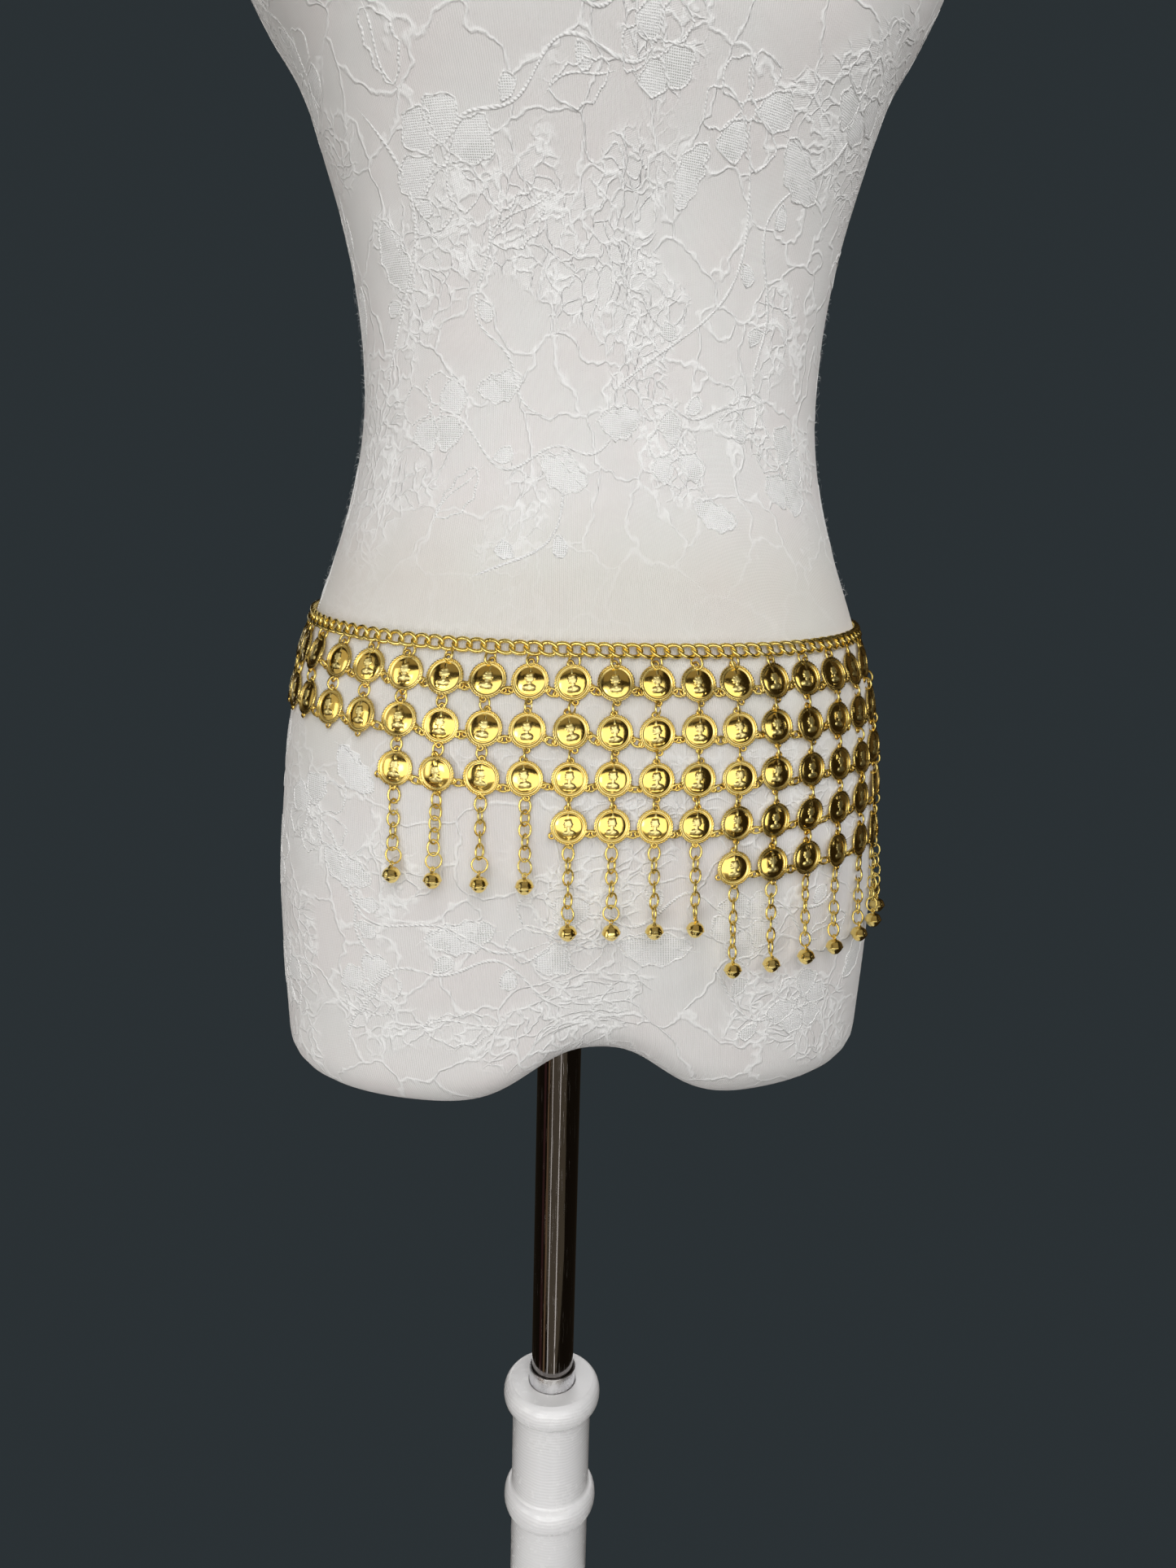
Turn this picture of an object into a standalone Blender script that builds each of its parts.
"""Coin waist chain worn on a dress form.

A curb chain closes round the hips of a limbless dress form. Thirty-four columns of domed
coins hang from it, two rows deep at the ends and five at the deepest, and the longer columns
end in a short link chain with a bell. The form stands on a pole in a turned post and a round
base. Metres, +Z up, the form faces -Y, and the origin is the centre of the base's underside.
"""

import math

import bmesh
import bpy
import numpy as np
from mathutils import Matrix, Vector

# The form's horizontal sections from the thigh stubs to the neck, in metres.
# Each is a superellipse round the pole: half width, reach to the front, reach to the back,
# how far behind the pole its widest points lie, and squareness, which is 2 for a true ellipse
# and more for a fuller one.
SECTION_COLUMNS = ("height", "half_width", "front", "back", "widest", "squareness")
FORM_SECTIONS = (
    (0.711, 0.1600, 0.095, 0.100, 0.000, 2.5),
    (0.740, 0.1615, 0.098, 0.106, 0.000, 2.5),
    (0.780, 0.1634, 0.102, 0.113, 0.000, 2.5),
    (0.820, 0.1638, 0.106, 0.117, 0.000, 2.5),
    (0.860, 0.1614, 0.109, 0.117, 0.000, 2.5),
    (0.900, 0.1575, 0.110, 0.111, 0.000, 2.5),
    (0.930, 0.1520, 0.108, 0.103, 0.000, 2.5),
    (0.960, 0.1420, 0.104, 0.095, 0.000, 2.45),
    (0.990, 0.1314, 0.099, 0.087, 0.000, 2.4),
    (1.020, 0.1232, 0.094, 0.081, 0.000, 2.3),
    (1.060, 0.1176, 0.090, 0.077, 0.000, 2.3),
    (1.100, 0.1190, 0.091, 0.080, 0.000, 2.3),
    (1.140, 0.1258, 0.097, 0.086, 0.005, 2.3),
    (1.180, 0.1370, 0.109, 0.092, 0.013, 2.3),
    (1.220, 0.1505, 0.122, 0.097, 0.020, 2.3),
    (1.250, 0.1680, 0.123, 0.101, 0.029, 2.3),
    (1.290, 0.1860, 0.109, 0.104, 0.030, 2.3),
    (1.330, 0.1900, 0.093, 0.103, 0.025, 2.3),
    (1.362, 0.1780, 0.078, 0.096, 0.020, 2.3),
    (1.386, 0.1440, 0.065, 0.084, 0.014, 2.2),
    (1.406, 0.1000, 0.055, 0.070, 0.009, 2.1),
    (1.428, 0.0680, 0.049, 0.058, 0.004, 2.0),
    (1.460, 0.0560, 0.047, 0.048, 0.000, 2.0),
    (1.500, 0.0530, 0.046, 0.046, 0.000, 2.0),
)
FORM_SIDE_SHIFT = 0.009  # the form sits a little to one side of its pole
FORM_AROUND = 44
RING_STEP = 0.042
FINE_STEP = 0.0125  # between rings where the shoulders turn into the neck
SHOULDER_HEIGHT = 1.345
NECK_ROOT_HEIGHT = 1.440
STUB_HEIGHT = FORM_SECTIONS[0][0]
ARCH_RISE = 0.030  # the underside between the thigh stubs
ARCH_HALF_WIDTH = 0.042
ARCH_STEEPNESS = 2.5  # over 2 for a flatter top and steeper sides than a bell curve's
ARCH_FADES_OVER = 0.090
EDGE_RADIUS = 0.022
UNDERSIDE_RINGS = (0.75, 0.5, 0.25)

# The stand.
POLE_RADIUS = 0.0128
SEAT_GAP = 0.0003
SOCKET_TOP = 0.840
POST_BORE_FLOOR = 0.400
SLEEVE_WALL = 0.0011
SLEEVE_TOP = 0.496
POST_TOP = 0.487
POST_BORE_RADIUS = POLE_RADIUS + SLEEVE_WALL + 2 * SEAT_GAP
POST_RADIUS = 0.0241
BEAD_COLUMNS = ("middle", "radius", "half_height")
POST_BEADS = ((0.4785, 0.0298, 0.0085), (0.4055, 0.0287, 0.0085))
BASE_RADIUS = 0.205
BASE_THICKNESS = 0.022
BASE_EDGE = 0.006
BASE_STEPS = 40
TURNED_STEPS = 24

# The belt, laid round the form at the hips. Arc lengths run from the middle of the front.
BELT_SECTION_HEIGHT = 0.935
CHAIN_HEIGHT = 0.9575
CHAIN_DIP = 0.0135  # the chain rides this much lower in front than at the sides
CLEAR_OF_FORM = 0.0004
METAL = 0.0012
CHAIN_METAL = 0.0017
CHAIN_LINK_PITCH = 0.0066
CHAIN_HALF_HEIGHT = 0.0039
CHAIN_HALF_WAIST = 0.0030
CHAIN_ARCS = 6
SEAM = 0.0004

COIN_RADIUS = 0.0087
COIN_SIDES = 12
COIN_DOME = 0.0016
COLUMN_PITCH = 0.0192
ROW_PITCH = 0.0222
FIRST_ROW_DROP = 0.0150
FRONT_COLUMN = 10  # the column that hangs at the middle of the front
STEP_COLUMNS = ("columns", "rows", "fringed")
STEPS = (
    (5, 2, False),
    (4, 3, True),
    (4, 4, True),
    (8, 5, True),
    (4, 4, True),
    (4, 3, True),
    (5, 2, False),
)
NECK_HALF_WIDTH = 0.0011  # the jump ring between two coins, at its narrowest

# The fringe: a short link chain and a bell under each longer column.
FRINGE_DROP = 0.050  # from the last coin's centre to the bell's centre
FRINGE_ROOT = 0.0030
LINK_PITCH = 0.0073
LINK_HALF_WIDTH = 0.0023
LINK_HALF_WAIST = 0.0009
BELL_RADIUS = 0.0044
BELL_HALF_HEIGHT = 0.0046
FRINGE_END_IN_BELL = 0.35  # as a share of the bell's half height above its centre
BELL_SIDES = 6
BELL_RINGS = 4

CLASP_ARC = -0.283  # hidden at the back, on the wearer's right
CLASP_LENGTH = 0.019
CLASP_WIDTH = 0.0078
CLASP_DEPTH = 0.0028

GOLD = (1.0, 0.66, 0.20)
WHITE_CLOTH = (0.82, 0.80, 0.79)
WHITE_PAINT = (0.86, 0.86, 0.88)
CHROME = (0.55, 0.55, 0.57)
SLEEVE_SILVER = (0.80, 0.80, 0.82)


def clear_scene():
    """Remove whatever the starting file holds."""
    for obj in list(bpy.data.objects):
        bpy.data.objects.remove(obj, do_unlink=True)


def make_material(name, colour, roughness, metallic):
    """A Principled surface of one colour."""
    material = bpy.data.materials.new(name)
    material.use_nodes = True
    shader = material.node_tree.nodes["Principled BSDF"]
    shader.inputs["Base Color"].default_value = (*colour, 1.0)
    shader.inputs["Roughness"].default_value = roughness
    shader.inputs["Metallic"].default_value = metallic
    return material


def add_object(name, mesh, collection, material=None):
    """Link a mesh as a named object."""
    obj = bpy.data.objects.new(name, mesh)
    collection.objects.link(obj)
    if material:
        mesh.materials.append(material)
    return obj


def mesh_from_bmesh(name, bm):
    """Turn a finished bmesh into a mesh."""
    bmesh.ops.recalc_face_normals(bm, faces=bm.faces)
    mesh = bpy.data.meshes.new(name)
    bm.to_mesh(mesh)
    bm.free()
    return mesh


def section_values(heights):
    """The section columns at any heights: a cubic through the table's rows, with the slope
    at each row taken from its two neighbours."""
    table = np.array(FORM_SECTIONS)
    rows = table[:, 0]
    slopes = np.gradient(table, rows, axis=0)
    z = np.clip(np.atleast_1d(np.asarray(heights, float)), rows[0], rows[-1])
    i = np.clip(np.searchsorted(rows, z, side="right") - 1, 0, len(rows) - 2)
    span = (rows[i + 1] - rows[i])[:, None]
    u = ((z - rows[i]) / span[:, 0])[:, None]
    start = (2 * u**3 - 3 * u**2 + 1) * table[i] + (u**3 - 2 * u**2 + u) * span * slopes[i]
    end = (3 * u**2 - 2 * u**3) * table[i + 1] + (u**3 - u**2) * span * slopes[i + 1]
    return dict(zip(SECTION_COLUMNS, (start + end).T))


def form_outline(turn, height):
    """Plan positions on the form at an angle from the front, positive to +X."""
    turn, height = np.broadcast_arrays(np.asarray(turn, float), np.asarray(height, float))
    part = {k: v.reshape(height.shape) for k, v in section_values(height.ravel()).items()}
    sine, cosine = np.sin(turn), np.cos(turn)
    power = 2 / part["squareness"]
    widest = part["widest"]
    reach = np.where(cosine > 0, part["front"] + widest, part["back"] - widest)
    x = FORM_SIDE_SHIFT + part["half_width"] * np.sign(sine) * np.abs(sine) ** power
    y = widest - reach * np.sign(cosine) * np.abs(cosine) ** power
    return np.stack([x, y], axis=-1)


def belt_turns():
    """A fine table of angle against arc length round the form at the belt's height."""
    turns = np.linspace(-math.pi, math.pi, 4001)
    plan = form_outline(turns, BELT_SECTION_HEIGHT)
    steps = np.linalg.norm(np.diff(plan, axis=0), axis=1)
    arc = np.concatenate([[0.0], np.cumsum(steps)])
    return turns, arc - np.interp(0.0, turns, arc)


TURN_TABLE, ARC_TABLE = belt_turns()
BELT_LENGTH = ARC_TABLE[-1] - ARC_TABLE[0]


def turn_at(arc):
    """The angle at an arc length from the front, wrapped round the back."""
    wrapped = (arc - ARC_TABLE[0]) % BELT_LENGTH + ARC_TABLE[0]
    return float(np.interp(wrapped, ARC_TABLE, TURN_TABLE))


def underside_lift(x):
    """How far the arch between the thigh stubs lifts the underside at this x."""
    return ARCH_RISE * np.exp(-(np.abs((x - FORM_SIDE_SHIFT) / ARCH_HALF_WIDTH) ** ARCH_STEEPNESS))


def form_rings(turns):
    """The form's closed rings from the underside's centre up to the neck's, each an array of
    points: the underside's scaled rings, a rounded edge, the sides, and the neck's top."""
    rings = []
    rim = form_outline(turns, STUB_HEIGHT)
    middle = np.array([FORM_SIDE_SHIFT, 0.0])
    inward = middle - rim
    inward /= np.linalg.norm(inward, axis=1)[:, None]
    flat = rim + inward * EDGE_RADIUS
    for scale in reversed(UNDERSIDE_RINGS):
        plan = middle + (flat - middle) * scale
        rings.append(np.column_stack([plan, STUB_HEIGHT + underside_lift(plan[:, 0])]))
    for angle in (90, 45, 0):
        inset = EDGE_RADIUS * (1 - math.cos(math.radians(angle)))
        rise = EDGE_RADIUS * (1 - math.sin(math.radians(angle)))
        plan = rim + inward * inset
        rings.append(np.column_stack([plan, STUB_HEIGHT + rise + underside_lift(plan[:, 0])]))
    top = FORM_SECTIONS[-1][0]
    lower = np.arange(STUB_HEIGHT + EDGE_RADIUS + RING_STEP, SHOULDER_HEIGHT, RING_STEP)
    upper = np.arange(SHOULDER_HEIGHT, NECK_ROOT_HEIGHT, FINE_STEP)
    heights = np.concatenate([lower, upper, [1.470, top]])
    for height in heights:
        share = np.clip((height - STUB_HEIGHT) / ARCH_FADES_OVER, 0, 1)
        fade = 1 - share * share * (3 - 2 * share)
        lifted = height + fade * underside_lift(form_outline(turns, height)[:, 0])
        rings.append(np.column_stack([form_outline(turns, lifted), lifted]))
    neck = form_outline(turns, top)
    cap_middle = neck.mean(axis=0)
    rings.append(np.column_stack([cap_middle + (neck - cap_middle) * 0.82, np.full(len(turns), top + 0.006)]))
    return rings


def build_form(collection, cutters, material):
    """The torso: a sphere's rings of vertices, moved on to the form's sections."""
    turns = np.array([turn_at(i * BELT_LENGTH / FORM_AROUND) for i in range(FORM_AROUND)])
    rings = form_rings(turns)
    bm = bmesh.new()
    bmesh.ops.create_uvsphere(bm, u_segments=FORM_AROUND, v_segments=len(rings) + 1, radius=1.0)
    by_height = sorted(bm.verts, key=lambda v: round(v.co.z, 5))
    bottom, top = by_height[0], by_height[-1]
    for index, ring in enumerate(rings):
        start = 1 + index * FORM_AROUND
        loop = by_height[start : start + FORM_AROUND]
        loop.sort(key=lambda v: math.atan2(v.co.x, -v.co.y) % (2 * math.pi) + 1e-6)
        for vertex, place in zip(loop, ring):
            vertex.co = place
    bottom.co = (FORM_SIDE_SHIFT, 0.0, STUB_HEIGHT + ARCH_RISE)
    top.co = (*rings[-1][:, :2].mean(axis=0), rings[-1][0, 2] + 0.002)
    form = add_object("form_torso", mesh_from_bmesh("form_torso", bm), collection, material)
    form.data.shade_smooth()

    depth = SOCKET_TOP - 0.70
    bm = bmesh.new()
    bmesh.ops.create_cone(
        bm,
        cap_ends=True,
        segments=TURNED_STEPS,
        radius1=POLE_RADIUS + SEAT_GAP,
        radius2=POLE_RADIUS + SEAT_GAP,
        depth=depth,
        matrix=Matrix.Translation((0, 0, SOCKET_TOP - depth / 2)),
    )
    socket = add_object("socket_cutter", mesh_from_bmesh("socket_cutter", bm), cutters)
    socket.hide_render = True
    socket.display_type = "WIRE"
    cut = form.modifiers.new("pole socket", "BOOLEAN")
    cut.operation = "DIFFERENCE"
    cut.solver = "EXACT"
    cut.object = socket
    return form


def turned(name, profile, collection, material, closed_ring=False, steps=TURNED_STEPS):
    """A turned piece: a profile in the XZ plane, carried round Z by a Screw modifier."""
    mesh = bpy.data.meshes.new(name)
    points = [(radius, 0.0, height) for radius, height in profile]
    edges = [(i, i + 1) for i in range(len(points) - 1)]
    if closed_ring:
        edges.append((len(points) - 1, 0))
    mesh.from_pydata(points, edges, [])
    obj = add_object(name, mesh, collection, material)
    screw = obj.modifiers.new("turn", "SCREW")
    screw.steps = steps
    screw.render_steps = steps
    screw.use_merge_vertices = True
    screw.merge_threshold = 0.00001
    screw.use_smooth_shade = True
    return obj


def bead_profile(bead, from_radius, steps=4):
    """A half-round bead on the post, from its top edge down to its lower edge."""
    part = dict(zip(BEAD_COLUMNS, bead))
    points = []
    for i in range(steps + 1):
        angle = math.pi * (0.5 - i / steps)
        reach = (part["radius"] - from_radius) * math.cos(angle)
        points.append((from_radius + reach, part["middle"] + part["half_height"] * math.sin(angle)))
    return points


def build_stand(collection, paint, chrome, silver):
    """Pole, sleeve, turned post and round base."""
    pole_foot = POST_BORE_FLOOR + SEAT_GAP
    pole_top = SOCKET_TOP - SEAT_GAP
    turned(
        "pole",
        [(0, pole_top), (POLE_RADIUS, pole_top), (POLE_RADIUS, pole_foot), (0, pole_foot)],
        collection,
        chrome,
    )
    inner, outer = POLE_RADIUS + SEAT_GAP, POLE_RADIUS + SEAT_GAP + SLEEVE_WALL
    turned(
        "post_sleeve",
        [(inner, SLEEVE_TOP), (outer, SLEEVE_TOP), (outer, pole_foot), (inner, pole_foot)],
        collection,
        silver,
        closed_ring=True,
    )
    post_foot = BASE_THICKNESS + SEAT_GAP
    profile = [(0, POST_BORE_FLOOR), (POST_BORE_RADIUS, POST_BORE_FLOOR), (POST_BORE_RADIUS, POST_TOP)]
    for bead in POST_BEADS:
        profile += bead_profile(bead, POST_RADIUS)
    profile += [(POST_RADIUS, post_foot), (0, post_foot)]
    turned("stand_post", profile, collection, paint)
    turned(
        "stand_base",
        [
            (0, BASE_THICKNESS),
            (BASE_RADIUS - BASE_EDGE, BASE_THICKNESS),
            (BASE_RADIUS - BASE_EDGE / 3, BASE_THICKNESS - BASE_EDGE / 3),
            (BASE_RADIUS, BASE_THICKNESS - BASE_EDGE),
            (BASE_RADIUS, 0),
            (0, 0),
        ],
        collection,
        paint,
        steps=BASE_STEPS,
    )


class HangingLine:
    """The line that a column of the belt takes: down the form's surface as far as the form
    widens, and straight down from there. Distances run down from the waist chain's centre."""

    above = 0.008
    below = 0.230

    def __init__(self, arc):
        turn = turn_at(arc)
        chain = CHAIN_HEIGHT - CHAIN_DIP * math.cos(turn)
        heights = np.arange(chain + self.above, chain - self.below, -0.001)
        plan = form_outline(turn, heights)
        ahead = form_outline(turn + 0.01, BELT_SECTION_HEIGHT)
        behind = form_outline(turn - 0.01, BELT_SECTION_HEIGHT)
        along = (ahead - behind) / np.linalg.norm(ahead - behind)
        self.along = Vector((along[0], along[1], 0))
        outward = np.array([along[1], -along[0]])
        reach = plan @ outward
        widest = int(np.argmax(reach))
        plan[widest:] = plan[widest]
        self.points = np.column_stack([plan, heights])
        steps = np.linalg.norm(np.diff(self.points, axis=0), axis=1)
        travelled = np.concatenate([[0.0], np.cumsum(steps)])
        self.distance = travelled - np.interp(self.above, chain + self.above - heights, travelled)

    def at(self, distance):
        """(point, direction down, direction outward) at a distance below the chain's centre."""
        def place(d):
            return Vector([float(np.interp(d, self.distance, self.points[:, i])) for i in range(3)])

        down = (place(distance + 0.003) - place(distance - 0.003)).normalized()
        outward = down.cross(self.along).normalized()
        return place(distance), down, outward

    def point(self, distance, across=0.0, out=0.0):
        """A point this far down, across towards +arc, and out from the form."""
        place, _, outward = self.at(distance)
        return place + self.along * across + outward * (CLEAR_OF_FORM + out)


def column_rows():
    """Rows and fringe of every column in order."""
    plans = []
    for step in STEPS:
        part = dict(zip(STEP_COLUMNS, step))
        plans += [(part["rows"], part["fringed"])] * part["columns"]
    return plans


def coin_frame(line, row):
    """The matrix of one coin: X across, Y down and Z out of the form."""
    place, down, outward = line.at(FIRST_ROW_DROP + row * ROW_PITCH)
    matrix = Matrix((line.along, down, outward)).transposed().to_4x4()
    matrix.translation = place + outward * CLEAR_OF_FORM
    return matrix


def rim_edge(frame, side):
    """The two rim corners of a coin at one side: +X, -X, +Y or -Y in its frame."""
    direction = {"+x": 0, "+y": 90, "-x": 180, "-y": 270}[side]
    half = 180 / COIN_SIDES
    corners = []
    for angle in (direction - half, direction + half):
        turn = math.radians(angle)
        corner = (COIN_RADIUS * math.cos(turn), COIN_RADIUS * math.sin(turn), 0)
        corners.append(frame @ Vector(corner))
    return corners


def nearest(bm_verts, places):
    """The vertices at these places."""
    return [min(bm_verts, key=lambda v: (v.co - place).length) for place in places]


def add_coin(bm, frame):
    """One coin: a fan of triangles whose middle is pushed out into a low dome."""
    corner_first = Matrix.Rotation(math.pi / COIN_SIDES, 4, "Z")
    made = bmesh.ops.create_circle(
        bm,
        cap_ends=True,
        cap_tris=True,
        segments=COIN_SIDES,
        radius=COIN_RADIUS,
        matrix=frame @ corner_first,
    )
    centre = min(made["verts"], key=lambda v: (v.co - frame.translation).length)
    centre.co += frame.to_3x3() @ Vector((0, 0, COIN_DOME))
    return made["verts"]


def add_strip(bm, edge, rows):
    """A strip of quads from an edge of the sheet through further pairs of points."""
    pair = edge
    for row in rows:
        following = [v if isinstance(v, bmesh.types.BMVert) else bm.verts.new(v) for v in row]
        bm.faces.new((pair[0], pair[1], following[1], following[0]))
        pair = following
    return pair


def fringe_rows(line, last_coin_distance, fringed_length):
    """The link chain under a column, as pairs of points: wide at each link, narrow between.
    Its end leans out into the middle of the bell, whose side lies against the form."""
    rows = []
    start = last_coin_distance + COIN_RADIUS + FRINGE_ROOT
    end = last_coin_distance + fringed_length - BELL_HALF_HEIGHT * FRINGE_END_IN_BELL
    lean = BELL_RADIUS - METAL / 2
    links = max(2, round((end - start) / LINK_PITCH))
    step = (end - start) / links
    for i in range(links):
        for share, half in ((0.0, LINK_HALF_WAIST), (0.5, LINK_HALF_WIDTH)):
            distance = start + (i + share) * step
            rows.append([line.point(distance, -half), line.point(distance, half)])
    rows.append([line.point(end, -LINK_HALF_WAIST, lean), line.point(end, LINK_HALF_WAIST, lean)])
    return rows


def build_column(index, plans, lines, collection, helpers, material):
    """One column of coins, with its jump rings, the rings to the next column and its fringe,
    as one sheet of metal that Solidify makes a wall."""
    rows, fringed = plans[index]
    line = lines[index]
    bm = bmesh.new()
    coins = []
    for row in range(rows):
        frame = coin_frame(line, row)
        coins.append((frame, add_coin(bm, frame)))

    top = nearest(coins[0][1], rim_edge(coins[0][0], "-y"))
    hook = CHAIN_HALF_HEIGHT + SEAM
    neck = [line.point(hook, NECK_HALF_WIDTH), line.point(hook, -NECK_HALF_WIDTH)]
    add_strip(bm, sorted_across(top, line, descending=True), [neck])

    for (frame, verts), (next_frame, next_verts) in zip(coins, coins[1:]):
        lower = sorted_across(nearest(verts, rim_edge(frame, "+y")), line)
        upper = sorted_across(nearest(next_verts, rim_edge(next_frame, "-y")), line)
        middle = (frame.translation + next_frame.translation) / 2
        ring = [middle - line.along * NECK_HALF_WIDTH, middle + line.along * NECK_HALF_WIDTH]
        add_strip(bm, lower, [ring, upper])

    if index + 1 < len(plans):
        for row in range(min(rows, plans[index + 1][0])):
            frame, verts = coins[row]
            edge = nearest(verts, rim_edge(frame, "+x"))
            towards = rim_edge(coin_frame(lines[index + 1], row), "-x")
            edge.sort(key=lambda v: v.co.z)
            towards.sort(key=lambda v: v.z)
            ends = []
            for vertex, target in zip(edge, towards):
                way = target - vertex.co
                ends.append(vertex.co + way * (1 - SEAM / way.length))
            add_strip(bm, edge, [ends])

    last = FIRST_ROW_DROP + (rows - 1) * ROW_PITCH
    if fringed:
        frame, verts = coins[-1]
        lower = sorted_across(nearest(verts, rim_edge(frame, "+y")), line)
        add_strip(bm, lower, fringe_rows(line, last, FRINGE_DROP))

    bmesh.ops.recalc_face_normals(bm, faces=bm.faces)
    outward = coins[0][0].to_3x3() @ Vector((0, 0, 1))
    if coins[0][1][0].link_faces[0].normal.dot(outward) < 0:
        bmesh.ops.reverse_faces(bm, faces=bm.faces)
    name = f"coin_column_{index + 1:02d}"
    mesh = bpy.data.meshes.new(name)
    bm.to_mesh(mesh)
    bm.free()
    obj = add_object(name, mesh, collection, material)
    wall = obj.modifiers.new("metal", "SOLIDIFY")
    wall.thickness = METAL
    wall.offset = 1.0
    wall.use_even_offset = False
    if fringed:
        add_bell(obj, line, last + FRINGE_DROP, index, helpers)
    return obj


def sorted_across(verts, line, descending=False):
    """A pair of vertices in order across the column."""
    return sorted(verts, key=lambda v: v.co.dot(line.along), reverse=descending)


def add_bell(column, line, distance, index, helpers):
    """The bell at a column's foot, joined to its link chain."""
    place = line.point(distance, 0, BELL_RADIUS)
    squash = Matrix.Diagonal((BELL_RADIUS, BELL_RADIUS, BELL_HALF_HEIGHT, 1))
    bm = bmesh.new()
    bmesh.ops.create_uvsphere(
        bm,
        u_segments=BELL_SIDES,
        v_segments=BELL_RINGS,
        radius=1.0,
        matrix=Matrix.Translation(place) @ squash,
    )
    name = f"bell_{index + 1:02d}"
    bell = add_object(name, mesh_from_bmesh(name, bm), helpers)
    bell.hide_render = True
    bell.display_type = "WIRE"
    join = column.modifiers.new("bell", "BOOLEAN")
    join.operation = "UNION"
    join.solver = "EXACT"
    join.object = bell


def build_waist_chain(collection, material):
    """The curb chain round the hips, in arcs: a band, high at each link and lower between."""
    free = BELT_LENGTH - CLASP_LENGTH - 2 * SEAM
    links = round(free / CHAIN_LINK_PITCH)
    start = CLASP_ARC + CLASP_LENGTH / 2 + SEAM
    step = free / links
    per_arc = math.ceil(links / CHAIN_ARCS)
    for number in range(CHAIN_ARCS):
        first = number * per_arc
        last = min(links, first + per_arc)
        bm = bmesh.new()
        pairs = []
        for half_link in range(2 * first, 2 * last + 1):
            arc = start + half_link * step / 2
            if half_link == 2 * first and number > 0:
                arc += SEAM / 2
            if half_link == 2 * last and last < links:
                arc -= SEAM / 2
            half = CHAIN_HALF_HEIGHT if half_link % 2 else CHAIN_HALF_WAIST
            line = HangingLine(arc)
            pairs.append([line.point(-half), line.point(half)])
        pair = [bm.verts.new(point) for point in pairs[0]]
        add_strip(bm, pair, pairs[1:])
        outward = HangingLine(start + first * step).at(0)[2]
        bm.faces.ensure_lookup_table()
        bm.normal_update()
        if bm.faces[0].normal.dot(outward) < 0:
            bmesh.ops.reverse_faces(bm, faces=bm.faces)
        name = f"waist_chain_{number + 1}"
        mesh = bpy.data.meshes.new(name)
        bm.to_mesh(mesh)
        bm.free()
        obj = add_object(name, mesh, collection, material)
        wall = obj.modifiers.new("metal", "SOLIDIFY")
        wall.thickness = CHAIN_METAL
        wall.offset = 1.0


def build_clasp(collection, material):
    """The trigger clasp that closes the chain, as its outer shape."""
    line = HangingLine(CLASP_ARC)
    place, down, outward = line.at(0)
    frame = Matrix((line.along, down, outward)).transposed().to_4x4()
    frame.translation = place + outward * (CLEAR_OF_FORM + CLASP_DEPTH / 2)
    size = Matrix.Diagonal((CLASP_LENGTH / 2, CLASP_WIDTH / 2, CLASP_DEPTH / 2, 1))
    bm = bmesh.new()
    bmesh.ops.create_uvsphere(bm, u_segments=10, v_segments=8, radius=1.0, matrix=frame @ size)
    clasp = add_object("clasp", mesh_from_bmesh("clasp", bm), collection, material)
    clasp.data.shade_smooth()


def main():
    clear_scene()
    parts = bpy.data.collections.new("coin_waist_chain")
    helpers = bpy.data.collections.new("cutters_and_joined_shapes")
    for collection in (parts, helpers):
        bpy.context.scene.collection.children.link(collection)
    gold = make_material("gold_plate", GOLD, 0.22, 1.0)
    cloth = make_material("form_cover", WHITE_CLOTH, 0.85, 0.0)
    paint = make_material("white_paint", WHITE_PAINT, 0.25, 0.0)
    chrome = make_material("dark_chrome", CHROME, 0.08, 1.0)
    silver = make_material("sleeve_silver", SLEEVE_SILVER, 0.35, 1.0)

    build_form(parts, helpers, cloth)
    build_stand(parts, paint, chrome, silver)
    build_waist_chain(parts, gold)
    build_clasp(parts, gold)
    plans = column_rows()
    lines = [HangingLine((i - FRONT_COLUMN) * COLUMN_PITCH) for i in range(len(plans))]
    for index in range(len(plans)):
        build_column(index, plans, lines, parts, helpers, gold)


main()
